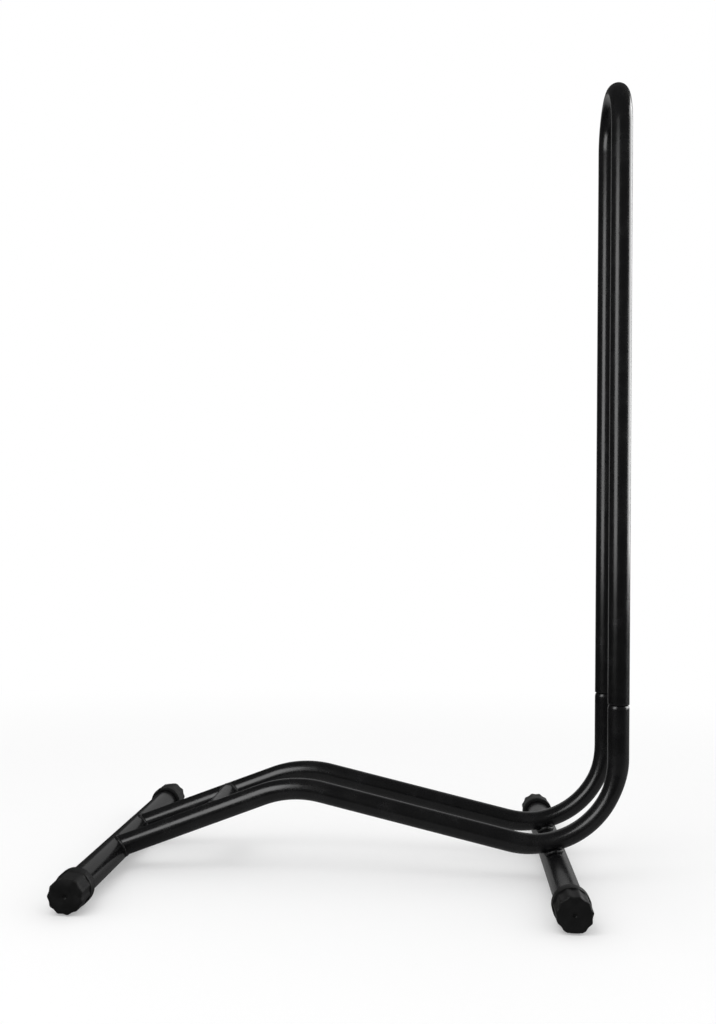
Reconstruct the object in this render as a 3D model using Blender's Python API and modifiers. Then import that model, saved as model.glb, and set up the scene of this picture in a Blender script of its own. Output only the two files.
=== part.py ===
"""Bike parking stand: bent rails on cross legs, and a tall hoop that plugs on to the rails' spigots.

Units are metres. X runs along the wheel slot, from the foot of the ramp to the hoop. Y runs across it,
and Z is up. The origin lies on the floor, under the middle of the stand.
"""

import math

import bmesh
import bpy
from mathutils import Matrix, Vector

# Running clearance between pieces that touch
GAP = 0.0003

# Rails: 20 mm tube, two of them side by side with the wheel slot between
RAIL_OD = 0.020
RAIL_WALL = 0.0015
RAIL_SPACING = 0.0858
CREST_REACH = 0.1692
CREST_HEIGHT = 0.0833
CREST_RADIUS = 0.0970
RAMP_LIFT = 0.0015
CRADLE_RADIUS = 0.0808
UPRIGHT_SETBACK = 0.0561

# The cradle's bend is pressed flatter by its bender: thinner in the plane of the bend, wider across it
CRADLE_FLATTENING = 0.0013
CRADLE_SWELL = 0.0006

# Plug joint at the top of each rail
JOINT_HEIGHT = 0.1654
SHOULDER_LENGTH = 0.0045
SPIGOT_LENGTH = 0.045
SPIGOT_CLEARANCE = 0.00035
SPIGOT_CHAMFER = 0.0015

# Hoop: the rails' tube again
STAND_HEIGHT = 0.772

# Legs: 25 mm tube across the rails
LEG_OD = 0.025
LEG_WALL = 0.0015
LEG_LENGTH = 0.368
LEG_BASE = 0.4188

# Crossbar between the rails, part way up the ramp
CROSSBAR_OD = 0.019
CROSSBAR_WALL = 0.0015
CROSSBAR_REACH = 0.0950

# Moulded caps on the ends of the legs
CAP_LENGTH = 0.030
CAP_FACE = 0.003
CAP_WALL = 0.0034
CAP_BAND_LENGTH = 0.010
CAP_BAND_STEP = 0.0004
CAP_GRIP_TAPER = 0.0004
CAP_EDGE = 0.0008
CAP_LIP_EDGE = 0.0004
CAP_LOBES = 11
CAP_NOTCH_DEPTH = 0.001
CAP_NOTCH_RADIUS = 0.003
CAP_FLAT_CUT = 0.0012
CAP_LAND_CUT = 0.0003
CAP_DIMPLE_RADIUS = 0.0012
CAP_DIMPLE_DEPTH = 0.0006
FRONT_CAP_TURN = math.radians(173)

# Weld beads
BEAD_RADIUS = 0.0022
BEAD_OFFSET = 0.0006
REAR_BEAD_REACH = 0.0075

# Facets
TUBE_SIDES = 20
BORE_SIDES = 12
LEG_SIDES = 32
CAP_STEPS_PER_LOBE = 3
NOTCH_SIDES = 12
BEAD_SIDES = 8
BEAD_STEPS = 20
CREST_STEPS = 7
CRADLE_STEPS = 18
HOOP_STEPS = 24
SHOULDER_STEPS = 4
SMOOTH_ANGLE = math.radians(35)
DIMPLE_SIDES = 12

# Finishes: colour and roughness
COAT_COLOUR = (0.012, 0.012, 0.013)
TUBE_COAT_ROUGHNESS = 0.35
WELD_COAT_ROUGHNESS = 0.5
PLASTIC_COLOUR = (0.02, 0.02, 0.021)
PLASTIC_ROUGHNESS = 0.6

# Points closer than this are one point
WELD_DISTANCE = 0.000001

# Sizes that follow from the ones above
RAIL_R = RAIL_OD / 2
LEG_R = LEG_OD / 2
CROSSBAR_R = CROSSBAR_OD / 2
SPIGOT_R = RAIL_R - RAIL_WALL - SPIGOT_CLEARANCE
CAP_SOCKET_R = LEG_R + GAP
CAP_R = CAP_SOCKET_R + CAP_WALL
CAP_GRIP_R = CAP_R - CAP_BAND_STEP
CAP_FACE_R = CAP_GRIP_R - CAP_GRIP_TAPER
CAP_FACE_Z = GAP + CAP_FACE
CAP_LIP_Z = CAP_FACE_Z - CAP_LENGTH
CAP_BAND_Z = CAP_LIP_Z + CAP_BAND_LENGTH
CAP_RELIEF_Z = CAP_BAND_Z - CAP_BAND_STEP
FRONT_LEG_X = -(LEG_BASE + UPRIGHT_SETBACK + RAIL_R - CAP_R) / 2
FRONT_LEG_Z = CAP_R
REAR_LEG_X = FRONT_LEG_X + LEG_BASE
REAR_LEG_Z = CAP_R - CAP_LAND_CUT
UPRIGHT_X = REAR_LEG_X + UPRIGHT_SETBACK
CRADLE_X = UPRIGHT_X - CRADLE_RADIUS
CRADLE_CROWN = RAIL_R - CRADLE_FLATTENING
CRADLE_SIDE = RAIL_R + CRADLE_SWELL
LEG_TO_CRADLE = CRADLE_RADIUS + CRADLE_CROWN + GAP + LEG_R
CRADLE_Z = REAR_LEG_Z + math.sqrt(LEG_TO_CRADLE ** 2 - (REAR_LEG_X - CRADLE_X) ** 2)
CREST_X = FRONT_LEG_X + CREST_REACH
CREST_TO_CRADLE = Vector((CRADLE_X - CREST_X, 0, CRADLE_Z - CREST_HEIGHT))
RUN_TURN = math.asin(CRADLE_RADIUS / CREST_TO_CRADLE.length)
RUN_ANGLE = math.atan2(CREST_TO_CRADLE.z, CREST_TO_CRADLE.x) - RUN_TURN
CRADLE_START = RUN_ANGLE - math.pi / 2
REST_ANGLE = math.asin((REAR_LEG_X - CRADLE_X) / LEG_TO_CRADLE) - math.pi / 2
RAMP_ANGLE = math.atan2(CREST_HEIGHT - FRONT_LEG_Z - RAMP_LIFT, CREST_REACH)
RAMP_DIRECTION = Vector((math.cos(RAMP_ANGLE), 0, math.sin(RAMP_ANGLE)))
RAMP_NORMAL = Vector((-math.sin(RAMP_ANGLE), 0, math.cos(RAMP_ANGLE)))
HOOP_FOOT_Z = JOINT_HEIGHT + GAP


def clear_scene():
    """Remove every object that the scene starts with."""
    for item in list(bpy.data.objects):
        bpy.data.objects.remove(item, do_unlink=True)


def new_collection(name):
    """Return a new collection in the scene."""
    collection = bpy.data.collections.new(name)
    bpy.context.scene.collection.children.link(collection)
    return collection


def new_material(name, colour, roughness):
    """Return a Principled BSDF material."""
    material = bpy.data.materials.new(name)
    material.use_nodes = True
    shader = material.node_tree.nodes["Principled BSDF"]
    shader.inputs["Base Color"].default_value = (*colour, 1.0)
    shader.inputs["Roughness"].default_value = roughness
    shader.inputs["Metallic"].default_value = 0.0
    return material


def move_to(collection, item):
    """Put an object in one collection only."""
    for old in list(item.users_collection):
        old.objects.unlink(item)
    collection.objects.link(item)


def as_cutter(item):
    """Hide a cutter from the render and show it as wire."""
    move_to(CUTTERS, item)
    item.hide_render = True
    item.display_type = "WIRE"
    return item


def as_part(item, material, parent):
    """Put a finished piece in the stand's collection, with its material, under its parent."""
    move_to(PARTS, item)
    item.data.materials.clear()
    item.data.materials.append(material)
    item.parent = parent
    item.matrix_parent_inverse = parent.matrix_world.inverted()
    item.data.shade_smooth()
    item.data.set_sharp_from_angle(angle=SMOOTH_ANGLE)
    return item


def boolean(item, cutter):
    """Cut one mesh with another."""
    modifier = item.modifiers.new(cutter.name, "BOOLEAN")
    modifier.operation = "DIFFERENCE"
    modifier.solver = "EXACT"
    modifier.object = cutter


def evaluated_mesh(item, name):
    """Return the mesh that an object has after its modifiers, with loose caps welded."""
    bpy.context.view_layer.update()
    mesh = bpy.data.meshes.new_from_object(item.evaluated_get(bpy.context.evaluated_depsgraph_get()))
    mesh.name = name
    cage = bmesh.new()
    cage.from_mesh(mesh)
    bmesh.ops.remove_doubles(cage, verts=cage.verts, dist=WELD_DISTANCE)
    bmesh.ops.recalc_face_normals(cage, faces=cage.faces)
    cage.to_mesh(mesh)
    cage.free()
    return mesh


def tube(name, stations, sides, origin=Vector((0, 0, 0)), cyclic=False):
    """Return a solid round tube along a list of (point, radius) stations, as a mesh object.

    The object's origin is the point given, and the stations are in world space.
    """
    curve = bpy.data.curves.new(name, "CURVE")
    curve.dimensions = "3D"
    curve.bevel_depth = 1.0
    curve.bevel_resolution = (sides - 4) // 2
    curve.use_fill_caps = not cyclic
    spline = curve.splines.new("POLY")
    spline.points.add(len(stations) - 1)
    spline.use_cyclic_u = cyclic
    for target, (point, radius) in zip(spline.points, stations):
        target.co = (*(point - origin), 1.0)
        target.radius = radius
    path = bpy.data.objects.new(name, curve)
    path.location = origin
    bpy.context.scene.collection.objects.link(path)
    solid = bpy.data.objects.new(name, evaluated_mesh(path, name))
    solid.matrix_world = path.matrix_world
    bpy.context.scene.collection.objects.link(solid)
    bpy.data.objects.remove(path)
    solid.name = name
    return solid


def cylinder_across(name, radius, length, x, z, sides):
    """Return a cylinder that lies along Y, with its middle at y = 0."""
    place = {"location": (x, 0, z), "rotation": (math.pi / 2, 0, 0)}
    bpy.ops.mesh.primitive_cylinder_add(vertices=sides, radius=radius, depth=length, **place)
    item = bpy.context.object
    item.name = name
    return item


def arc(centre, radius, start, end, steps):
    """Return points on an arc in the plane of the rails, as (x, z) pairs from one angle to the other."""
    angles = [start + (end - start) * step / steps for step in range(steps + 1)]
    return [(centre[0] + radius * math.cos(a), centre[1] + radius * math.sin(a)) for a in angles]


def rail_bends():
    """Return the (x, z) points of both bends, tangent to the ramp, the run between them and the upright."""
    half_turn = (RAMP_ANGLE - RUN_ANGLE) / 2
    tangent = CREST_RADIUS * math.tan(half_turn)
    start_x = CREST_X - tangent * math.cos(RAMP_ANGLE)
    start_z = CREST_HEIGHT - tangent * math.sin(RAMP_ANGLE)
    centre = (start_x + CREST_RADIUS * math.sin(RAMP_ANGLE), start_z - CREST_RADIUS * math.cos(RAMP_ANGLE))
    quarter = math.pi / 2
    crest = arc(centre, CREST_RADIUS, quarter + RAMP_ANGLE, quarter + RUN_ANGLE, CREST_STEPS)
    cradle = arc((CRADLE_X, CRADLE_Z), CRADLE_RADIUS, CRADLE_START, 0.0, CRADLE_STEPS)
    return crest + cradle


def rail_stations(y, radius, spigot_radius, top):
    """Return the stations of one rail from the front leg's axis to the end of its spigot.

    The shoulder under the spigot is a quarter ellipse, so the tube draws in smoothly below the joint.
    """
    foot = (FRONT_LEG_X, FRONT_LEG_Z + RAMP_LIFT)
    stations = [(Vector((x, y, z)), radius) for x, z in [foot] + rail_bends()]
    for step in range(SHOULDER_STEPS + 1):
        share = step / SHOULDER_STEPS
        z = JOINT_HEIGHT - SHOULDER_LENGTH * (1 - share)
        drawn = spigot_radius + (radius - spigot_radius) * math.sqrt(1 - share ** 2)
        stations.append((Vector((UPRIGHT_X, y, z)), drawn))
    stations.append((Vector((UPRIGHT_X, y, top)), spigot_radius))
    return stations


def flattened_share(angle):
    """Return how far the cradle's bend is flattened at an angle round its centre, from 0 to 1.

    It is flattest from its rest on the rear leg up, and turns round again towards both of its ends.
    """
    fade = REST_ANGLE - CRADLE_START
    share = max(0.0, min(1.0, (angle - CRADLE_START) / fade, -angle / fade))
    return share ** 2 * (3 - 2 * share)


def flatten_cradle(item, y, radius):
    """Flatten a round tube along the cradle's bend. radius is the tube's own, y the place of its axis."""
    for vertex in item.data.vertices:
        out = Vector((vertex.co.x - CRADLE_X, 0, vertex.co.z - CRADLE_Z))
        share = flattened_share(math.atan2(out.z, out.x))
        crown = (radius - CRADLE_FLATTENING * share) / radius
        side = (radius + CRADLE_SWELL * share) / radius
        flat = out.normalized() * (CRADLE_RADIUS + (out.length - CRADLE_RADIUS) * crown)
        vertex.co = Vector((CRADLE_X, y + (vertex.co.y - y) * side, CRADLE_Z)) + flat
    return item


def build_rail(name, y, material, parent):
    """Build one lower rail: hollow, coped over the front leg and drawn down to a spigot at its top."""
    top = JOINT_HEIGHT + SPIGOT_LENGTH
    stations = rail_stations(y, RAIL_R, SPIGOT_R, top - SPIGOT_CHAMFER)
    stations.append((Vector((UPRIGHT_X, y, top)), SPIGOT_R - SPIGOT_CHAMFER / 2))
    rail = flatten_cradle(tube(name, stations, TUBE_SIDES), y, RAIL_R)
    bore_radius = RAIL_R - RAIL_WALL
    bore_stations = rail_stations(y, bore_radius, SPIGOT_R - RAIL_WALL, top + RAIL_WALL)
    bore = flatten_cradle(tube(name + "_bore", bore_stations, BORE_SIDES), y, bore_radius)
    boolean(rail, as_cutter(bore))
    boolean(rail, bpy.data.objects["front_leg_clearance"])
    return as_part(rail, material, parent)


def build_rail_clearance(name, y):
    """Build the cutter that copes what is welded against a rail."""
    foot = (FRONT_LEG_X, FRONT_LEG_Z + RAMP_LIFT)
    radius = RAIL_R + GAP
    stations = [(Vector((x, y, z)), radius) for x, z in [foot] + rail_bends()]
    return as_cutter(flatten_cradle(tube(name, stations, TUBE_SIDES), y, radius))


def hoop_stations(radius, overrun):
    """Return the stations of the hoop, from its near foot over the bend to its far foot."""
    bend_radius = RAIL_SPACING / 2
    bend_z = STAND_HEIGHT - RAIL_R - bend_radius
    foot_z = HOOP_FOOT_Z - overrun
    stations = [(Vector((UPRIGHT_X, -bend_radius, foot_z)), radius)]
    for step in range(HOOP_STEPS + 1):
        angle = math.pi * step / HOOP_STEPS
        point = Vector((UPRIGHT_X, -bend_radius * math.cos(angle), bend_z + bend_radius * math.sin(angle)))
        stations.append((point, radius))
    stations.append((Vector((UPRIGHT_X, bend_radius, foot_z)), radius))
    return stations


def build_hoop(material, parent):
    """Build the hoop: an inverted U of hollow tube, open at both feet."""
    origin = parent.location.copy()
    hoop = tube("hoop", hoop_stations(RAIL_R, 0.0), TUBE_SIDES, origin)
    boolean(hoop, as_cutter(tube("hoop_bore", hoop_stations(RAIL_R - RAIL_WALL, RAIL_WALL), BORE_SIDES)))
    return as_part(hoop, material, parent)


def build_leg(name, x, z, material, parent):
    """Build one cross leg: a straight tube, open at both ends."""
    leg = cylinder_across(name, LEG_R, LEG_LENGTH, x, z, LEG_SIDES)
    bore_length = LEG_LENGTH + 2 * LEG_WALL
    boolean(leg, as_cutter(cylinder_across(name + "_bore", LEG_R - LEG_WALL, bore_length, x, z, LEG_SIDES)))
    return as_part(leg, material, parent)


def build_crossbar(material, parent):
    """Build the crossbar: a short tube with its ends coped against both rails."""
    centre = crossbar_centre()
    bar = cylinder_across("ramp_crossbar", CROSSBAR_R, RAIL_SPACING, centre.x, centre.z, TUBE_SIDES)
    bore_radius = CROSSBAR_R - CROSSBAR_WALL
    bore_length = RAIL_SPACING + RAIL_OD
    bore = cylinder_across("crossbar_bore", bore_radius, bore_length, centre.x, centre.z, BORE_SIDES)
    boolean(bar, as_cutter(bore))
    boolean(bar, bpy.data.objects["near_rail_clearance"])
    boolean(bar, bpy.data.objects["far_rail_clearance"])
    return as_part(bar, material, parent)


def crossbar_centre():
    """Return the middle of the crossbar, which lies on the rails' own axes."""
    rise = CROSSBAR_REACH * math.tan(RAMP_ANGLE)
    return Vector((FRONT_LEG_X + CROSSBAR_REACH, 0, FRONT_LEG_Z + RAMP_LIFT + rise))


def saddle_path(foot, branch, main, branch_radius, main_radius, lift):
    """Return the closed line where a branch tube meets a main tube that it stands square to.

    foot is the point of the main tube's axis under the joint, and lift is how far the branch's axis
    passes beside the main one. Both radii grow by the bead's offset, so the line stands off the metal.
    """
    side = main.cross(branch)
    radius = branch_radius + BEAD_OFFSET
    reach = main_radius + BEAD_OFFSET
    points = []
    for step in range(BEAD_STEPS):
        angle = 2 * math.pi * step / BEAD_STEPS
        across = lift + radius * math.sin(angle)
        out = math.sqrt(reach ** 2 - across ** 2)
        points.append(foot + branch * out + main * (radius * math.cos(angle)) + side * across)
    return points


def crossing_path(y):
    """Return the closed line round the spot where a rail rests on the rear leg.

    It runs half way between the two surfaces. The rail is oval there.
    """
    normal = Vector((CRADLE_X - REAR_LEG_X, 0, CRADLE_Z - REAR_LEG_Z)).normalized()
    along = Vector((normal.z, 0, -normal.x))
    contact = Vector((REAR_LEG_X, y, REAR_LEG_Z)) + normal * (LEG_R + GAP / 2)
    points = []
    for step in range(BEAD_STEPS):
        angle = 2 * math.pi * step / BEAD_STEPS
        ahead = REAR_BEAD_REACH * math.cos(angle)
        beside = REAR_BEAD_REACH * math.sin(angle)
        rail_rise = CRADLE_CROWN * (1 - math.sqrt(1 - (beside / CRADLE_SIDE) ** 2))
        leg_drop = LEG_R - math.sqrt(LEG_R ** 2 - ahead ** 2)
        middle = (rail_rise - leg_drop) / 2
        points.append(contact + along * ahead + Vector((0, beside, 0)) + normal * middle)
    return points


def build_bead(name, path, clearances, material, parent):
    """Build a weld bead: a ring along a closed line, cut back from both tubes that it joins."""
    bead = tube(name, [(point, BEAD_RADIUS) for point in path], BEAD_SIDES, cyclic=True)
    for clearance in clearances:
        boolean(bead, bpy.data.objects[clearance])
    return as_part(bead, material, parent)


def build_beads(side, y, material, parent):
    """Build the three weld beads of one rail: on the front leg, on the rear leg and at the crossbar."""
    rail_clearance = side + "_rail_clearance"
    inward = Vector((0, -math.copysign(1, y), 0))
    foot = Vector((FRONT_LEG_X, y, FRONT_LEG_Z))
    across = Vector((0, -1, 0))
    lift = RAMP_LIFT * math.cos(RAMP_ANGLE) * across.cross(RAMP_DIRECTION).dot(RAMP_NORMAL)
    front = saddle_path(foot, RAMP_DIRECTION, across, RAIL_R, LEG_R, lift)
    build_bead("front_" + side + "_weld", front, ["front_leg_clearance", rail_clearance], material, parent)
    rear_cutters = ["rear_leg_clearance", rail_clearance]
    build_bead("rear_" + side + "_weld", crossing_path(y), rear_cutters, material, parent)
    centre = crossbar_centre() + Vector((0, y, 0))
    bar = saddle_path(centre, inward, RAMP_DIRECTION, CROSSBAR_R, RAIL_R, 0.0)
    build_bead("crossbar_" + side + "_weld", bar, ["crossbar_clearance", rail_clearance], material, parent)


def cap_profile():
    """Return the cap's (radius, z) outline, from the middle of its face round to the bottom of its socket.

    The face lies at the top, the end of the leg's tube at z = 0, and the lip below. A plain band runs
    up from the lip, and the grip steps in above it.
    """
    points = [(0, CAP_FACE_Z), (CAP_FACE_R - CAP_EDGE, CAP_FACE_Z), (CAP_FACE_R, CAP_FACE_Z - CAP_EDGE)]
    points += [(CAP_GRIP_R, CAP_BAND_Z), (CAP_R, CAP_BAND_Z)]
    points += [(CAP_R, CAP_LIP_Z + CAP_LIP_EDGE), (CAP_R - CAP_LIP_EDGE, CAP_LIP_Z)]
    points += [(CAP_SOCKET_R, CAP_LIP_Z), (CAP_SOCKET_R, GAP), (0, GAP)]
    return points


def turned(name, profile, steps):
    """Return an object with its (radius, z) profile turned about Z by a Screw modifier."""
    mesh = bpy.data.meshes.new(name)
    edges = [(first, first + 1) for first in range(len(profile) - 1)]
    mesh.from_pydata([(radius, 0, z) for radius, z in profile], edges, [])
    item = bpy.data.objects.new(name, mesh)
    bpy.context.scene.collection.objects.link(item)
    screw = item.modifiers.new("turn", "SCREW")
    screw.steps = steps
    screw.render_steps = steps
    screw.use_merge_vertices = True
    screw.merge_threshold = WELD_DISTANCE
    return item


def cap_notches():
    """Return one cutter with the rods that leave the lobes of the grip.

    They run out just past the step of the band. The flat takes the place of the two notches beside it.
    """
    length = 2 * (CAP_FACE_Z - CAP_RELIEF_Z)
    reach = CAP_FACE_R - CAP_NOTCH_DEPTH + CAP_NOTCH_RADIUS
    rods = bmesh.new()
    for notch in range(1, CAP_LOBES - 1):
        angle = -math.pi / 2 + 2 * math.pi * (notch + 0.5) / CAP_LOBES
        spot = Vector((reach * math.cos(angle), reach * math.sin(angle), CAP_RELIEF_Z + length / 2))
        place = Matrix.Translation(spot) @ Matrix.Rotation(angle, 4, "Z")
        rod = {"segments": NOTCH_SIDES, "radius1": CAP_NOTCH_RADIUS, "radius2": CAP_NOTCH_RADIUS}
        bmesh.ops.create_cone(rods, cap_ends=True, depth=length, matrix=place, **rod)
    mesh = bpy.data.meshes.new("cap_notches")
    rods.to_mesh(mesh)
    rods.free()
    item = bpy.data.objects.new("cap_notches", mesh)
    bpy.context.scene.collection.objects.link(item)
    return as_cutter(item)


def flat_cutter(name, reach, bottom):
    """Return the block that cuts a flat across a cap's side.

    The flat lies at a distance of reach from the cap's axis, and starts at one height.
    """
    size = 3 * CAP_LENGTH
    bpy.ops.mesh.primitive_cube_add(size=size, location=(0, -reach - size / 2, bottom + size / 2))
    block = bpy.context.object
    block.name = name
    return as_cutter(block)


def cap_mesh():
    """Return the mesh of one cap.

    It is a turned cup, notched round its grip, with a flat on the grip, a shallow land on the band
    where it stands on the floor, and a dimple in its face.
    """
    cap = turned("cap_form", cap_profile(), CAP_LOBES * CAP_STEPS_PER_LOBE)
    cap.rotation_euler = (0, 0, -math.pi / 2)
    bpy.context.view_layer.update()
    boolean(cap, cap_notches())
    boolean(cap, flat_cutter("cap_flat", CAP_FACE_R - CAP_FLAT_CUT, CAP_RELIEF_Z))
    boolean(cap, flat_cutter("cap_land", CAP_R - CAP_LAND_CUT, CAP_LIP_Z - CAP_LENGTH))
    rod = {"vertices": DIMPLE_SIDES, "radius": CAP_DIMPLE_RADIUS, "depth": 2 * CAP_DIMPLE_DEPTH}
    bpy.ops.mesh.primitive_cylinder_add(location=(0, 0, CAP_FACE_Z), **rod)
    dimple = bpy.context.object
    dimple.name = "cap_dimple"
    boolean(cap, as_cutter(dimple))
    mesh = evaluated_mesh(cap, "cap")
    mesh.transform(cap.matrix_world)
    bpy.data.objects.remove(cap)
    return mesh


def build_cap(name, mesh, leg, side, turn, material, parent):
    """Build one cap on the end of a leg. side is -1 at the near end and 1 at the far one."""
    cap = bpy.data.objects.new(name, mesh.copy())
    x, z = leg
    cap.location = (x, side * LEG_LENGTH / 2, z)
    outward = Matrix.Rotation(-side * math.pi / 2, 4, "X")
    upright = Matrix.Rotation(math.pi if side > 0 else 0.0, 4, "Z")
    cap.rotation_euler = (outward @ upright @ Matrix.Rotation(turn, 4, "Z")).to_euler()
    bpy.context.scene.collection.objects.link(cap)
    return as_part(cap, material, parent)


def new_empty(name, location, parent=None):
    """Return an empty that carries pieces."""
    empty = bpy.data.objects.new(name, None)
    empty.location = location
    PARTS.objects.link(empty)
    empty.parent = parent
    return empty


def build_clearances(near, far):
    """Build the cutters that keep the pieces off the legs, the rails and the crossbar."""
    legs = [("front_leg_clearance", FRONT_LEG_X, FRONT_LEG_Z), ("rear_leg_clearance", REAR_LEG_X, REAR_LEG_Z)]
    for name, x, z in legs:
        as_cutter(cylinder_across(name, LEG_R + GAP, LEG_LENGTH / 2, x, z, LEG_SIDES))
    bar = crossbar_centre()
    radius = CROSSBAR_R + GAP
    as_cutter(cylinder_across("crossbar_clearance", radius, RAIL_SPACING, bar.x, bar.z, TUBE_SIDES))
    build_rail_clearance("near_rail_clearance", near)
    build_rail_clearance("far_rail_clearance", far)


def build_tubes(near, far, frame, lift):
    """Build the rails, the hoop, the legs and the crossbar."""
    names = ["near_rail", "far_rail", "hoop", "front_leg", "rear_leg", "crossbar"]
    coat = {name: new_material(name + "_black_coat", COAT_COLOUR, TUBE_COAT_ROUGHNESS) for name in names}
    build_rail("near_rail", near, coat["near_rail"], frame)
    build_rail("far_rail", far, coat["far_rail"], frame)
    build_hoop(coat["hoop"], lift)
    build_leg("front_leg", FRONT_LEG_X, FRONT_LEG_Z, coat["front_leg"], frame)
    build_leg("rear_leg", REAR_LEG_X, REAR_LEG_Z, coat["rear_leg"], frame)
    build_crossbar(coat["crossbar"], frame)


def build_caps(frame):
    """Build the four caps. The front ones sit turned on their leg, so their flat lies near the top."""
    plastic = new_material("cap_black_plastic", PLASTIC_COLOUR, PLASTIC_ROUGHNESS)
    mesh = cap_mesh()
    ends = [("front", (FRONT_LEG_X, FRONT_LEG_Z), FRONT_CAP_TURN), ("rear", (REAR_LEG_X, REAR_LEG_Z), 0.0)]
    for end, leg, turn in ends:
        build_cap(end + "_near_cap", mesh, leg, -1, turn, plastic, frame)
        build_cap(end + "_far_cap", mesh, leg, 1, turn, plastic, frame)


def build_stand():
    """Build the whole stand."""
    near = -RAIL_SPACING / 2
    far = RAIL_SPACING / 2
    frame = new_empty("lower_frame", (0, 0, 0))
    lift = new_empty("hoop_lift", (UPRIGHT_X, 0, JOINT_HEIGHT), frame)
    bpy.context.view_layer.update()
    build_clearances(near, far)
    build_tubes(near, far, frame, lift)
    weld_coat = new_material("weld_black_coat", COAT_COLOUR, WELD_COAT_ROUGHNESS)
    build_beads("near", near, weld_coat, frame)
    build_beads("far", far, weld_coat, frame)
    build_caps(frame)


clear_scene()
PARTS = new_collection("bike_parking_stand")
CUTTERS = new_collection("cutters")
build_stand()
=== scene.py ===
"""Looks of a bike parking stand: smooth bent tubes, moulded caps, rippled welds, studio light and camera.

Every length is in metres. X runs along the wheel slot from the foot of the ramp to the hoop, Y runs across
it from the near rail to the far one, and Z is up from the floor.
"""

from __future__ import annotations

import logging
import math
import random
from dataclasses import dataclass
from enum import Enum
from typing import Any, Callable

import bpy
from bpy.types import Material, Node, NodeSocket, NodeTree, Object
from mathutils import Matrix, Vector


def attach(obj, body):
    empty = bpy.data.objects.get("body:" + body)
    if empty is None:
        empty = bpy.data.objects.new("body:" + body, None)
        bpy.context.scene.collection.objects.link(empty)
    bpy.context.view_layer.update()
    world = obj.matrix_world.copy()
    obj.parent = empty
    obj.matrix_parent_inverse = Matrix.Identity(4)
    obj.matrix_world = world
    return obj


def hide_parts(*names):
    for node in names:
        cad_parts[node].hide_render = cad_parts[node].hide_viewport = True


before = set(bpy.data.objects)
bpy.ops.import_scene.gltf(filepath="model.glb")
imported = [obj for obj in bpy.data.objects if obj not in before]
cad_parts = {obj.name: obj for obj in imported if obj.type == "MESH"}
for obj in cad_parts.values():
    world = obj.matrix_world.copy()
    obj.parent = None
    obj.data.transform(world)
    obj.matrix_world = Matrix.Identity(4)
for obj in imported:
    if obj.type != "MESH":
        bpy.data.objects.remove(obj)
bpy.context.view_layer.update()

LOG = logging.getLogger("bike_parking_stand")
MM = 0.001
WELD_DISTANCE = 0.001 * MM
SMOOTH_ANGLE = math.radians(32)
RIM_ANGLE = math.radians(60)
EDGE_SEGMENTS = 2
CUTTER_SIDES = 96
ACROSS = Vector((0, 1, 0))
UP = Vector((0, 0, 1))


class Body(Enum):
    """The bodies that the pieces ride on."""

    FRAME = "frame"
    HOOP = "hoop"


class Slot(Enum):
    """Names of the material slots."""

    RAIL = "rail_coat"
    HOOP = "hoop_coat"
    LEG = "leg_coat"
    WELD = "weld_coat"
    CAP = "cap_plastic"


class Side(Enum):
    """The near and the far side of the wheel slot, by the sign of Y."""

    NEAR = -1
    FAR = 1

    @property
    def word(self) -> str:
        """The side's name in lower case."""
        return self.name.lower()


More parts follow.
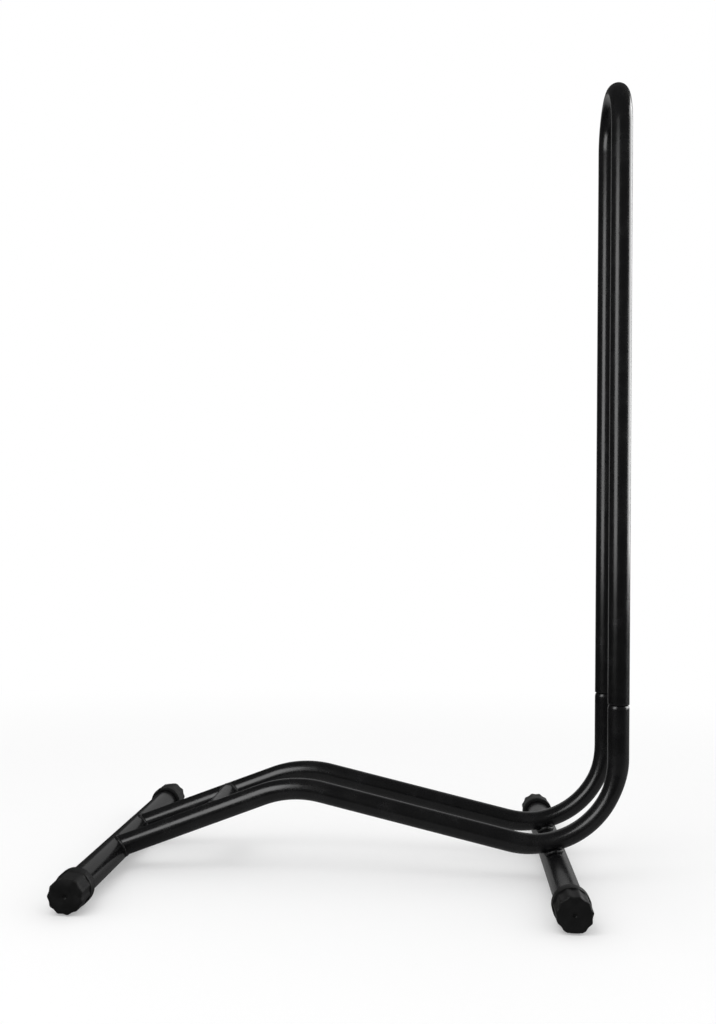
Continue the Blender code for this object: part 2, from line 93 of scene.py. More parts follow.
@dataclass(frozen=True)
class StandSizes:
    """The driving sizes of the stand, the same as the part's own, except for the height.

    The photographed hoop ends 7.5 mm lower than the part's.
    """

    gap: float = 0.3 * MM
    rail_od: float = 20 * MM
    wall: float = 1.5 * MM
    rail_spacing: float = 85.8 * MM
    crest_reach: float = 169.2 * MM
    crest_height: float = 83.3 * MM
    crest_radius: float = 97 * MM
    ramp_lift: float = 1.5 * MM
    cradle_radius: float = 80.8 * MM
    cradle_flattening: float = 1.3 * MM
    cradle_swell: float = 0.6 * MM
    upright_setback: float = 56.1 * MM
    joint_height: float = 165.4 * MM
    shoulder_length: float = 4.5 * MM
    spigot_length: float = 45 * MM
    spigot_clearance: float = 0.35 * MM
    spigot_chamfer: float = 1.5 * MM
    stand_height: float = 764.5 * MM
    leg_od: float = 25 * MM
    leg_length: float = 368 * MM
    leg_base: float = 418.8 * MM
    crossbar_od: float = 19 * MM
    crossbar_reach: float = 95 * MM
    cap_radius: float = 16.2 * MM
    cap_land_cut: float = 0.3 * MM

    @property
    def rail_r(self) -> float:
        """Outer radius of the rails and the hoop."""
        return self.rail_od / 2

    @property
    def leg_r(self) -> float:
        """Outer radius of the legs."""
        return self.leg_od / 2

    @property
    def crossbar_r(self) -> float:
        """Outer radius of the crossbar."""
        return self.crossbar_od / 2

    @property
    def spigot_r(self) -> float:
        """Outer radius of the swaged spigots."""
        return self.rail_r - self.wall - self.spigot_clearance

    @property
    def front_leg(self) -> Vector:
        """Middle of the front leg's axis."""
        reach = self.leg_base + self.upright_setback + self.rail_r - self.cap_radius
        return Vector((-reach / 2, 0, self.cap_radius))

    @property
    def rear_leg(self) -> Vector:
        """Middle of the rear leg's axis."""
        return Vector((self.front_leg.x + self.leg_base, 0, self.cap_radius - self.cap_land_cut))

    @property
    def upright_x(self) -> float:
        """Where the uprights stand along X."""
        return self.rear_leg.x + self.upright_setback

    @property
    def cradle_crown(self) -> float:
        """Half of the tube's thickness in the cradle bend, where the bender has flattened it."""
        return self.rail_r - self.cradle_flattening

    @property
    def cradle_side(self) -> float:
        """Half of the tube's width there."""
        return self.rail_r + self.cradle_swell

    @property
    def leg_to_cradle(self) -> float:
        """Distance of the rear leg's axis from the centre of the cradle bend."""
        return self.cradle_radius + self.cradle_crown + self.gap + self.leg_r

    @property
    def cradle_centre(self) -> Vector:
        """Centre of the cradle bend, which rests the rails on the rear leg."""
        x = self.upright_x - self.cradle_radius
        rise = math.sqrt(self.leg_to_cradle**2 - (self.rear_leg.x - x) ** 2)
        return Vector((x, 0, self.rear_leg.z + rise))

    @property
    def ramp_foot(self) -> Vector:
        """Where the ramp's axis starts, inside the front leg."""
        return self.front_leg + Vector((0, 0, self.ramp_lift))

    @property
    def crest_corner(self) -> Vector:
        """Where the lines of the ramp and of the run down to the cradle would cross."""
        return Vector((self.front_leg.x + self.crest_reach, 0, self.crest_height))

    @property
    def ramp_angle(self) -> float:
        """Slope of the ramp."""
        rise = self.crest_corner - self.ramp_foot
        return math.atan2(rise.z, rise.x)

    @property
    def run_angle(self) -> float:
        """Slope of the run between the crest and the cradle, which is below zero."""
        away = self.cradle_centre - self.crest_corner
        return math.atan2(away.z, away.x) - math.asin(self.cradle_radius / away.length)

    @property
    def cradle_turn(self) -> float:
        """How far the cradle bends the rails, up to the upright."""
        return math.pi / 2 - self.run_angle

    @property
    def rest_turn(self) -> float:
        """How far round the cradle bend the rails touch the rear leg."""
        beside = self.rear_leg.x - self.cradle_centre.x
        return math.asin(beside / self.leg_to_cradle) - self.run_angle

    @property
    def crossbar_middle(self) -> Vector:
        """Middle of the crossbar, on the axes of the rails."""
        rise = self.crossbar_reach * math.tan(self.ramp_angle)
        return self.ramp_foot + Vector((self.crossbar_reach, 0, rise))

    @property
    def hoop_foot_z(self) -> float:
        """Height of the hoop's open ends."""
        return self.joint_height + self.gap

    def slope(self, angle: float) -> Vector:
        """Return the direction that rises from +X by an angle."""
        return Vector((math.cos(angle), 0, math.sin(angle)))


STAND = StandSizes()


def linear_colour(code: str) -> tuple[float, float, float, float]:
    """Turn an sRGB hex code into a linear colour.

    Args:
        code: Six hex digits after a hash sign.

    Returns:
        Red, green, blue and an alpha of 1.
    """
    channels = [int(code[place : place + 2], 16) / 255 for place in (1, 3, 5)]
    linear = [c / 12.92 if c <= 0.04045 else ((c + 0.055) / 1.055) ** 2.4 for c in channels]
    return (*linear, 1.0)


def add_node(tree: NodeTree, kind: str, inputs: dict[Any, Any], **settings: Any) -> Node:
    """Add one node to a tree.

    Args:
        tree: The tree that the node goes into.
        kind: The node's type.
        inputs: Its sockets by name or number, each with a value or with the output that feeds it.
        **settings: Its properties by name.

    Returns:
        The new node.
    """
    node = tree.nodes.new(kind)
    for name, value in settings.items():
        setattr(node, name, value)
    for socket, value in inputs.items():
        if isinstance(value, NodeSocket):
            tree.links.new(value, node.inputs[socket])
        else:
            node.inputs[socket].default_value = value
    return node


@dataclass(frozen=True)
class Pattern:
    """An irregular pattern, by the width of its features and the number and strength of its finer layers."""

    size: float
    layers: float
    strength: float

    def sockets(self, place: NodeSocket) -> dict[str, Any]:
        """Return the settings of the noise that draws it on coordinates in metres."""
        return {"Vector": place, "Scale": 1 / self.size, "Detail": self.layers, "Roughness": self.strength}


@dataclass(frozen=True)
class Finish:
    """What the finishes share: worn patches, which change the colour and the gloss, and a fine relief.

    It may also have specks, which take the worn colour. The edges of the patches and of the specks are given
    in levels of their patterns.
    """

    name: str
    colour: str
    worn_colour: str
    ior: float
    specular: float
    roughness: float
    worn_roughness: float
    patches: Pattern
    patch_edge: tuple[float, float]
    relief: Pattern
    relief_height: float
    specks: Pattern | None = None
    speck_edge: tuple[float, float] = (0.71, 0.79)

    def make(self) -> Material:
        """Build the finish.

        Returns:
            The material, with its patterns on the pieces' own coordinates.
        """
        material = bpy.data.materials.new(self.name)
        material.use_nodes = True
        tree = material.node_tree
        shader = tree.nodes["Principled BSDF"]
        shader.inputs["IOR"].default_value = self.ior
        shader.inputs["Specular IOR Level"].default_value = self.specular
        place = add_node(tree, "ShaderNodeTexCoord", {}).outputs["Object"]
        clouds = add_node(tree, "ShaderNodeTexNoise", self.patches.sockets(place)).outputs["Fac"]
        edge = {"Value": clouds, "From Min": self.patch_edge[0], "From Max": self.patch_edge[1]}
        wear = add_node(tree, "ShaderNodeMapRange", edge, interpolation_type="SMOOTHSTEP").outputs["Result"]
        pale = wear
        if self.specks:
            grains = add_node(tree, "ShaderNodeTexNoise", self.specks.sockets(place)).outputs["Fac"]
            edge = {"Value": grains, "From Min": self.speck_edge[0], "From Max": self.speck_edge[1]}
            dust = add_node(tree, "ShaderNodeMapRange", edge).outputs["Result"]
            pale = add_node(tree, "ShaderNodeMath", {0: wear, 1: dust}, operation="MAXIMUM").outputs["Value"]
        colours = {6: linear_colour(self.colour), 7: linear_colour(self.worn_colour)}
        tint = add_node(tree, "ShaderNodeMix", {"Factor": pale, **colours}, data_type="RGBA")
        levels = {"Value": wear, "To Min": self.roughness, "To Max": self.worn_roughness}
        gloss = add_node(tree, "ShaderNodeMapRange", levels)
        relief = add_node(tree, "ShaderNodeTexNoise", self.relief.sockets(place)).outputs["Fac"]
        bump = add_node(tree, "ShaderNodeBump", {"Height": relief, "Distance": self.relief_height})
        tree.links.new(tint.outputs[2], shader.inputs["Base Color"])
        tree.links.new(gloss.outputs["Result"], shader.inputs["Roughness"])
        tree.links.new(bump.outputs["Normal"], shader.inputs["Normal"])
        return material


@dataclass(frozen=True)
class PowderCoat(Finish):
    """Satin black polyester powder coat, sprayed on steel and baked.

    The eye sees a deep black skin with soft-edged highlights. They waver slightly with the orange peel that
    the powder leaves as it flows out, and dull here and there where hands and packing have rubbed it. Specks
    of dust, paler than the coat, are drawn coarser than they are, or they wouldn't show.
    """

    colour: str = "#0b0b0c"
    worn_colour: str = "#121213"
    ior: float = 1.5
    specular: float = 0.5
    roughness: float = 0.22
    worn_roughness: float = 0.3
    patches: Pattern = Pattern(size=24 * MM, layers=5.0, strength=0.62)
    patch_edge: tuple[float, float] = (0.4, 0.72)
    relief: Pattern = Pattern(size=1.6 * MM, layers=1.5, strength=0.45)
    relief_height: float = 0.008 * MM
    specks: Pattern = Pattern(size=0.7 * MM, layers=2.0, strength=0.5)


@dataclass(frozen=True)
class MouldedPlastic(Finish):
    """Matt black polypropylene, injection moulded in a spark-eroded mould.

    The eye sees a dry, even black with a fine grain, greyer where the grain faces the light, and paler
    smears where the plastic has been handled. The grain is drawn coarser than it is, or it wouldn't show.
    """

    colour: str = "#080808"
    worn_colour: str = "#101011"
    ior: float = 1.49
    specular: float = 0.32
    roughness: float = 0.5
    worn_roughness: float = 0.64
    patches: Pattern = Pattern(size=9 * MM, layers=6.0, strength=0.65)
    patch_edge: tuple[float, float] = (0.38, 0.74)
    relief: Pattern = Pattern(size=0.45 * MM, layers=2.0, strength=0.6)
    relief_height: float = 0.03 * MM


def free_hands() -> None:
    """Leave edit mode and select nothing, so that an operator acts on the new piece alone."""
    if bpy.context.object and bpy.context.object.mode != "OBJECT":
        bpy.ops.object.mode_set(mode="OBJECT")
    bpy.ops.object.select_all(action="DESELECT")


def across(direction: Vector) -> tuple[float, float, float]:
    """Return the rotation that turns Z on to a direction."""
    return tuple(direction.to_track_quat("Z", "Y").to_euler())


class Workpiece:
    """One mesh that is shaped in edit mode, as by hand, with its place in its mesh."""

    def __init__(self, name: str) -> None:
        """Take over the primitive that was just added.

        Args:
            name: The piece's name.
        """
        self.item = bpy.context.object
        self.item.name = name
        self.item.data.name = name
        bpy.ops.object.transform_apply(location=True, rotation=True, scale=True)

    def edit(self) -> None:
        """Open the mesh in edit mode, all selected."""
        bpy.context.view_layer.objects.active = self.item
        bpy.ops.object.mode_set(mode="EDIT")
        bpy.ops.mesh.select_mode(type="VERT")
        bpy.ops.mesh.select_all(action="SELECT")

    def leave(self) -> None:
        """Close edit mode."""
        bpy.ops.object.mode_set(mode="OBJECT")

    def pick(self, wanted: Callable[[Vector], bool]) -> None:
        """Select some of the piece's points, and leave it in edit mode.

        Args:
            wanted: Says of a point's place whether it is selected.
        """
        bpy.ops.mesh.select_all(action="DESELECT")
        self.leave()
        for point in self.item.data.vertices:
            point.select = wanted(point.co)
        bpy.ops.object.mode_set(mode="EDIT")

    def heal(self) -> None:
        """Merge doubled points, turn all faces outwards and close edit mode."""
        bpy.ops.mesh.select_all(action="SELECT")
        bpy.ops.mesh.remove_doubles(threshold=WELD_DISTANCE)
        bpy.ops.mesh.normals_make_consistent(inside=False)
        self.leave()

    def finish_with(self, kind: str, **settings: Any) -> None:
        """Add a modifier with its settings and apply it.

        Args:
            kind: The modifier's type.
            **settings: Its properties by name.
        """
        modifier = self.item.modifiers.new(kind.lower(), kind)
        for name, value in settings.items():
            setattr(modifier, name, value)
        bpy.context.view_layer.objects.active = self.item
        bpy.ops.object.modifier_apply(modifier=modifier.name)

    def soften(self, width: float, angle: float = SMOOTH_ANGLE) -> None:
        """Round every edge that is sharper than an angle."""
        limit = {"limit_method": "ANGLE", "angle_limit": angle, "use_clamp_overlap": True}
        self.finish_with("BEVEL", width=width, segments=EDGE_SEGMENTS, **limit)

    def cut_away(self, cutter: Object) -> None:
        """Cut another object out of the piece, and drop that object."""
        self.finish_with("BOOLEAN", operation="DIFFERENCE", solver="EXACT", object=cutter)
        bpy.data.objects.remove(cutter, do_unlink=True)

    def smooth(self) -> None:
        """Shade the piece smooth, with its sharp edges kept."""
        free_hands()
        self.item.select_set(True)
        bpy.context.view_layer.objects.active = self.item
        bpy.ops.object.shade_smooth_by_angle(angle=SMOOTH_ANGLE)

    def dress(self, material: Material, slot: Slot, body: Body, node: str) -> None:
        """Give the piece its finish, let it ride on its body and stand for its CAD node.

        Args:
            material: The finish.
            slot: Not used.
            body: The body that it moves with.
            node: The CAD node that it stands for.
        """
        self.smooth()
        self.item.data.materials.clear()
        self.item.data.materials.append(material)
        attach(self.item, body.value)
        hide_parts(node)
        LOG.info("%s: %d faces, on %s", self.item.name, len(self.item.data.polygons), body.value)


class BentTube(Workpiece):
    """Round tube, made as a bender makes it: straight pushes and bends of the open end."""

    def __init__(self, name: str, start: Vector, direction: Vector, radius: float, sides: int = 56) -> None:
        """Start a tube as one ring of edges.

        Args:
            name: The piece's name.
            start: Middle of the first end.
            direction: The way that the tube runs from there.
            radius: Outer radius.
            sides: How many edges go round it.
        """
        free_hands()
        bpy.ops.mesh.primitive_circle_add(
            vertices=sides, radius=radius, fill_type="NOTHING", location=start, rotation=across(direction)
        )
        super().__init__(name)
        self.tip = start.copy()
        self.direction = direction.normalized()
        self.radius = radius
        self.edit()

    def push(self, length: float, radius: float | None = None) -> None:
        """Push the tube straight on.

        Args:
            length: How far it goes.
            radius: The radius that its new end is drawn to, where it changes.
        """
        step = self.direction * length
        bpy.ops.mesh.extrude_region_move(TRANSFORM_OT_translate={"value": tuple(step)})
        self.tip += step
        if radius is not None:
            share = radius / self.radius
            bpy.ops.transform.resize(value=(share, share, share), center_override=tuple(self.tip))
            self.radius = radius

    def run(self, length: float, margin: float = 2 * MM) -> None:
        """Push a long straight, with a ring near each end that keeps its shading true."""
        for part in (margin, length - 2 * margin, margin):
            self.push(part)

    def bend(self, centre: Vector, axis: Vector, angle: float, steps: int) -> None:
        """Bend the tube on about an axis.

        Args:
            centre: Middle of the bend.
            axis: The axis that it turns about.
            angle: How far it turns, right-handed.
            steps: How many rings the bend has.
        """
        bpy.ops.mesh.spin(steps=steps, angle=-angle, center=tuple(centre), axis=tuple(axis))
        turn = Matrix.Rotation(angle, 3, axis)
        self.tip = centre + turn @ (self.tip - centre)
        self.direction = turn @ self.direction

    def squeeze(self, outward: Vector, thinner: float, wider: float) -> None:
        """Press the open end oval.

        Args:
            outward: The way that it is pressed along.
            thinner: Factor along that way.
            wider: Factor across it.
        """
        beside = self.direction.cross(outward)
        bpy.ops.transform.resize(
            value=(thinner, wider, 1),
            orient_type="GLOBAL",
            orient_matrix_type="GLOBAL",
            orient_matrix=[list(outward), list(beside), list(self.direction)],
            center_override=tuple(self.tip),
        )

    def wall(self, thickness: float, rim: float) -> None:
        """Give the tube its wall, inwards from its outer skin.

        Args:
            thickness: The wall's thickness.
            rim: Width of the rounding on its ends' edges, or 0 where they stay sharp.
        """
        self.heal()
        self.finish_with("SOLIDIFY", thickness=thickness, offset=-1.0, use_even_offset=True, use_rim=True)
        if rim:
            self.soften(rim, RIM_ANGLE)


def cylinder_cutter(middle: Vector, direction: Vector, radius: float, length: float) -> Object:
    """Make a plain cylinder that another piece is cut with.

    Args:
        middle: Its middle.
        direction: The way that its axis runs.
        radius: Its radius.
        length: Its length.

    Returns:
        The cylinder.
    """
    free_hands()
    bpy.ops.mesh.primitive_cylinder_add(
        vertices=CUTTER_SIDES, radius=radius, depth=length, location=middle, rotation=across(direction)
    )
    return bpy.context.object


@dataclass(frozen=True)
class Tubework:
    """The bent and straight tubes of the stand: rails, hoop, legs and crossbar."""

    rim: float = 0.25 * MM
    crest_steps: int = 16
    cradle_steps: int = 44
    hoop_steps: int = 72
    shoulder_steps: int = 8
    leg_sides: int = 72
    cope: float = 0.05 * MM
    cutter_length: float = 60 * MM

    def rail(self, side: Side, coat: Material) -> None:
        """Bend one rail from the front leg to the tip of its spigot, and cope its foot round the leg.

        Args:
            side: The side of the wheel slot that it is on.
            coat: Its finish.
        """
        offset = ACROSS * (side.value * STAND.rail_spacing / 2)
        ramp = STAND.slope(STAND.ramp_angle)
        turn = STAND.ramp_angle - STAND.run_angle
        tangent = STAND.crest_radius * math.tan(turn / 2)
        straight = (STAND.crest_corner - STAND.ramp_foot).length - tangent
        tube = BentTube(f"{side.word}_rail_tube", STAND.ramp_foot + offset, ramp, STAND.rail_r)
        tube.run(straight)
        crest_centre = tube.tip + STAND.slope(STAND.ramp_angle - math.pi / 2) * STAND.crest_radius
        tube.bend(crest_centre, -ACROSS, -turn, self.crest_steps)
        cradle_centre = STAND.cradle_centre + offset
        cradle_start = cradle_centre + STAND.slope(STAND.run_angle - math.pi / 2) * STAND.cradle_radius
        tube.run((cradle_start - tube.tip).length)
        self.bend_cradle(tube, cradle_centre)
        tube.run(STAND.joint_height - STAND.shoulder_length - tube.tip.z)
        draw = STAND.rail_r - STAND.spigot_r
        for step in range(1, self.shoulder_steps + 1):
            share = step / self.shoulder_steps
            radius = STAND.spigot_r + draw * math.sqrt(1 - share**2)
            tube.push(STAND.shoulder_length / self.shoulder_steps, radius)
        tube.run(STAND.spigot_length - STAND.spigot_chamfer)
        tube.push(STAND.spigot_chamfer, STAND.spigot_r - STAND.spigot_chamfer / 2)
        tube.wall(STAND.wall, self.rim)
        leg = STAND.front_leg + offset
        tube.cut_away(cylinder_cutter(leg, ACROSS, STAND.leg_r + self.cope, self.cutter_length))
        tube.dress(coat, Slot.RAIL, Body.FRAME, f"{side.word}_rail")

    def bend_cradle(self, tube: BentTube, centre: Vector) -> None:
        """Bend the cradle ring by ring. The bender leaves it flattened, less and less towards both its ends.

        Args:
            tube: The rail, at the start of the bend.
            centre: The middle of the bend.
        """
        thick = wide = STAND.rail_r
        for step in range(1, self.cradle_steps + 1):
            tube.bend(centre, -ACROSS, STAND.cradle_turn / self.cradle_steps, 1)
            turned = STAND.cradle_turn * step / self.cradle_steps
            from_end = min(turned, STAND.cradle_turn - turned)
            share = max(0.0, min(1.0, from_end / STAND.rest_turn))
            share = share**2 * (3 - 2 * share)
            new_thick = STAND.rail_r - STAND.cradle_flattening * share
            new_wide = STAND.rail_r + STAND.cradle_swell * share
            tube.squeeze((tube.tip - centre).normalized(), new_thick / thick, new_wide / wide)
            thick, wide = new_thick, new_wide

    def hoop(self, coat: Material) -> None:
        """Bend the hoop: up from its near foot, over, and down to its far foot.

        Args:
            coat: Its finish.
        """
        bend_radius = STAND.rail_spacing / 2
        bend_z = STAND.stand_height - STAND.rail_r - bend_radius
        foot = Vector((STAND.upright_x, -bend_radius, STAND.hoop_foot_z))
        tube = BentTube("hoop_tube", foot, UP, STAND.rail_r)
        tube.run(bend_z - STAND.hoop_foot_z)
        tube.bend(Vector((STAND.upright_x, 0, bend_z)), Vector((-1, 0, 0)), math.pi, self.hoop_steps)
        tube.run(bend_z - STAND.hoop_foot_z)
        tube.wall(STAND.wall, self.rim)
        tube.dress(coat, Slot.HOOP, Body.HOOP, "hoop")

    def leg(self, name: str, middle: Vector, coat: Material) -> None:
        """Cut one leg to length.

        Args:
            name: The leg's name.
            middle: The middle of its axis.
            coat: Its finish.
        """
        start = middle - ACROSS * STAND.leg_length / 2
        tube = BentTube(f"{name}_tube", start, ACROSS, STAND.leg_r, self.leg_sides)
        tube.run(STAND.leg_length)
        tube.wall(STAND.wall, self.rim)
        tube.dress(coat, Slot.LEG, Body.FRAME, name)

    def crossbar(self, coat: Material) -> None:
        """Cut the crossbar and cope both its ends round the rails.

        Args:
            coat: Its finish.
        """
        middle = STAND.crossbar_middle
        half = ACROSS * STAND.rail_spacing / 2
        tube = BentTube("crossbar_tube", middle - half, ACROSS, STAND.crossbar_r)
        tube.run(STAND.rail_spacing)
        tube.wall(STAND.wall, 0.0)
        ramp = STAND.slope(STAND.ramp_angle)
        for rail in (middle - half, middle + half):
            tube.cut_away(cylinder_cutter(rail, ramp, STAND.rail_r + self.cope, self.cutter_length))
        tube.dress(coat, Slot.RAIL, Body.FRAME, "ramp_crossbar")


@dataclass(frozen=True)
class EndCap:
    """A moulded cap for the end of a leg: a plain band, a grip with eleven lobes and a flat face.

    It is shaped round the Z axis with its face up, the end of the leg at z = 0 and its flat towards -Y.
    """

    face: float = 3 * MM
    length: float = 30 * MM
    socket_r: float = STAND.leg_r + STAND.gap
    band_r: float = STAND.cap_radius
    band_length: float = 10 * MM
    band_step: float = 0.4 * MM
    grip_taper: float = 0.4 * MM
    grip_steps: int = 4
    face_chamfer: float = 0.8 * MM
    lobes: int = 11
    points_per_lobe: int = 20
    notch_depth: float = 0.95 * MM
    notch_half_width: float = 4.1 * MM
    notch_power: float = 1.3
    share_digits: int = 4
    flat_cut: float = 1.2 * MM
    land_cut: float = STAND.cap_land_cut
    dimple_r: float = 1.9 * MM
    dimple_floor_r: float = 1.045 * MM
    dimple_depth: float = 1.1 * MM
    edge: float = 0.32 * MM
    turn_of_front_caps: float = math.radians(173)

    @property
    def face_r(self) -> float:
        """Radius of the lobes at the face."""
        return self.band_r - self.band_step - self.grip_taper

    @property
    def face_z(self) -> float:
        """Height of the face."""
        return STAND.gap + self.face

    @property
    def lip_z(self) -> float:
        """Height of the open end."""
        return self.face_z - self.length

    @property
    def band_z(self) -> float:
        """Height of the step between the band and the grip."""
        return self.lip_z + self.band_length

    def ring(self, tube: BentTube, radius: float, z: float) -> None:
        """Carry the open edge on to another radius and height."""
        tube.push(z - tube.tip.z, radius)

    def turn_cup(self) -> BentTube:
        """Shape the cup while it is still round, from its lip up to its face and down into its socket.

        Returns:
            The cup, in edit mode.
        """
        sides = self.lobes * self.points_per_lobe
        cup = BentTube("cap_cup", UP * self.lip_z, UP, self.socket_r, sides)
        self.ring(cup, self.band_r, self.lip_z)
        self.ring(cup, self.band_r, self.band_z)
        self.ring(cup, self.band_r - self.band_step, self.band_z)
        for step in range(1, self.grip_steps + 1):
            share = step / self.grip_steps
            z = self.band_z + (self.face_z - self.face_chamfer - self.band_z) * share
            self.ring(cup, self.band_r - self.band_step - self.grip_taper * share, z)
        self.ring(cup, self.face_r - self.face_chamfer, self.face_z)
        self.ring(cup, self.dimple_r, self.face_z)
        self.ring(cup, self.dimple_floor_r, self.face_z - self.dimple_depth)
        bpy.ops.mesh.edge_face_add()
        mouth_r = (self.socket_r + self.band_r) / 2
        cup.pick(lambda point: abs(point.z - self.lip_z) < WELD_DISTANCE and point.xy.length < mouth_r)
        cup.tip = UP * self.lip_z
        cup.radius = self.socket_r
        cup.push(STAND.gap - self.lip_z)
        bpy.ops.mesh.edge_face_add()
        return cup

    def notch_share(self, point: Vector) -> float:
        """Measure how deep a point of the grip lies in its notch.

        Args:
            point: The point's place.

        Returns:
            A share of the notch's depth, from 0 on a lobe to 1 in the middle of the notch.
        """
        pitch = 2 * math.pi / self.lobes
        from_flat = (math.atan2(point.y, point.x) + math.pi / 2) % (2 * math.pi)
        notch = math.floor(from_flat / pitch)
        if notch in (0, self.lobes - 1):
            return 0.0
        offset = abs(from_flat - (notch + 0.5) * pitch) * self.face_r / self.notch_half_width
        return math.cos(offset * math.pi / 2) ** self.notch_power if offset < 1 else 0.0

    def cut_notches(self, cup: BentTube) -> None:
        """Draw the grip's points in towards the axis, one depth after another.

        Args:
            cup: The round cup.
        """
        cup.leave()
        shares = {round(self.notch_share(point.co), self.share_digits) for point in cup.item.data.vertices}
        cup.edit()
        for share in sorted(shares - {0.0}):
            cup.pick(
                lambda point: point.z > self.band_z - WELD_DISTANCE
                and 2 * self.dimple_r < point.xy.length < self.band_r - WELD_DISTANCE
                and abs(self.notch_share(point) - share) < 10**-self.share_digits
            )
            inward = 1 - self.notch_depth * share / self.face_r
            bpy.ops.transform.resize(value=(inward, inward, 1), center_override=(0, 0, 0))

    def press_flat(self, cup: BentTube, reach: float, low: float, high: float) -> None:
        """Flatten the underside at a distance from the axis, between two heights."""
        cup.pick(lambda point: low < point.z < high and point.y < -reach)
        bpy.ops.transform.resize(value=(1, 0, 1), center_override=(0, -reach, 0))

    def shape(self) -> Workpiece:
        """Shape the whole cap.

        Returns:
            The finished cap, still at the origin.
        """
        cup = self.turn_cup()
        self.cut_notches(cup)
        above = self.band_z - WELD_DISTANCE
        self.press_flat(cup, self.face_r - self.flat_cut, above, self.face_z + MM)
        self.press_flat(cup, self.band_r - self.land_cut, self.lip_z - MM, self.band_z + WELD_DISTANCE)
        cup.heal()
        cup.soften(self.edge)
        return cup

    def fit(self, plastic: Material) -> None:
        """Put a copy of the cap on each end of both legs.

        Args:
            plastic: Their finish.
        """
        pattern = self.shape()
        legs = (("front", STAND.front_leg, self.turn_of_front_caps), ("rear", STAND.rear_leg, 0.0))
        for end, leg, turn in legs:
            for side in Side:
                free_hands()
                item = pattern.item.copy()
                item.data = pattern.item.data.copy()
                bpy.context.scene.collection.objects.link(item)
                outward = Matrix.Rotation(-side.value * math.pi / 2, 4, "X")
                upright = Matrix.Rotation(math.pi if side is Side.FAR else 0.0, 4, "Z")
                spot = leg + ACROSS * (side.value * STAND.leg_length / 2)
                turned = Matrix.Rotation(turn, 4, "Z")
                item.matrix_world = Matrix.Translation(spot) @ outward @ upright @ turned
                item.select_set(True)
                bpy.context.view_layer.objects.active = item
                cap = Workpiece(f"{end}_{side.word}_cap_moulding")
                cap.dress(plastic, Slot.CAP, Body.FRAME, f"{end}_{side.word}_cap")
        bpy.data.objects.remove(pattern.item, do_unlink=True)


@dataclass(frozen=True)
class SaddleLine:
    """The line where a branch tube meets a main tube square.

    Its foot is the point on the main tube's axis under the joint. The radii are those of the tubes' skins,
    and the shift is how far the branch's axis passes beside the main one.
    """

    foot: Vector
    branch: Vector
    main: Vector
    branch_r: float
    main_r: float
    shift: float = 0.0

    @property
    def side(self) -> Vector:
        """The direction square to both tubes."""
        return self.main.cross(self.branch)

    def beside(self, angle: float) -> float:
        """Return how far the line runs beside the main tube's axis at an angle."""
        return self.shift + self.branch_r * math.sin(angle)

    def point(self, angle: float) -> Vector:
        """Find one point of the line.

        Args:
            angle: The angle round the branch, from 0 along the main tube.

        Returns:
            The point, on the skins of both tubes.
        """
        beside = self.beside(angle)
        out = self.branch * math.sqrt(self.main_r**2 - beside**2)
        return self.foot + out + self.main * (self.branch_r * math.cos(angle)) + self.side * beside

    def lift(self, angle: float) -> Vector:
        """Find the way out of the corner at one point.

        Args:
            angle: The angle round the branch, from 0 along the main tube.

        Returns:
            The direction half way between the two skins.
        """
        from_branch = self.main * math.cos(angle) + self.side * math.sin(angle)
        share = self.beside(angle) / self.main_r
        from_main = self.side * share + self.branch * math.sqrt(1 - share**2)
        return (from_branch + from_main).normalized()


@dataclass(frozen=True)
class CrossingLine:
    """The line round the spot where the cradle bend of a rail lies across the rear leg.

    Its normal points from the leg's axis to the rail, and along is the rail's direction there.
    """

    contact: Vector
    normal: Vector
    along: Vector
    reach: float

    def point(self, angle: float) -> Vector:
        """Find one point of the line.

        Args:
            angle: The angle round the contact, from 0 along the rail.

        Returns:
            The point, half way between the two skins.
        """
        ahead = self.reach * math.cos(angle)
        beside = self.reach * math.sin(angle)
        rail_rise = STAND.cradle_crown * (1 - math.sqrt(1 - (beside / STAND.cradle_side) ** 2))
        leg_drop = STAND.leg_r - math.sqrt(STAND.leg_r**2 - ahead**2)
        rise = self.normal * ((rail_rise - leg_drop) / 2)
        return self.contact + self.along * ahead + ACROSS * beside + rise

    def lift(self, angle: float) -> Vector:
        """Return the direction away from the contact."""
        return (self.along * math.cos(angle) + ACROSS * math.sin(angle)).normalized()


WeldLine = SaddleLine | CrossingLine


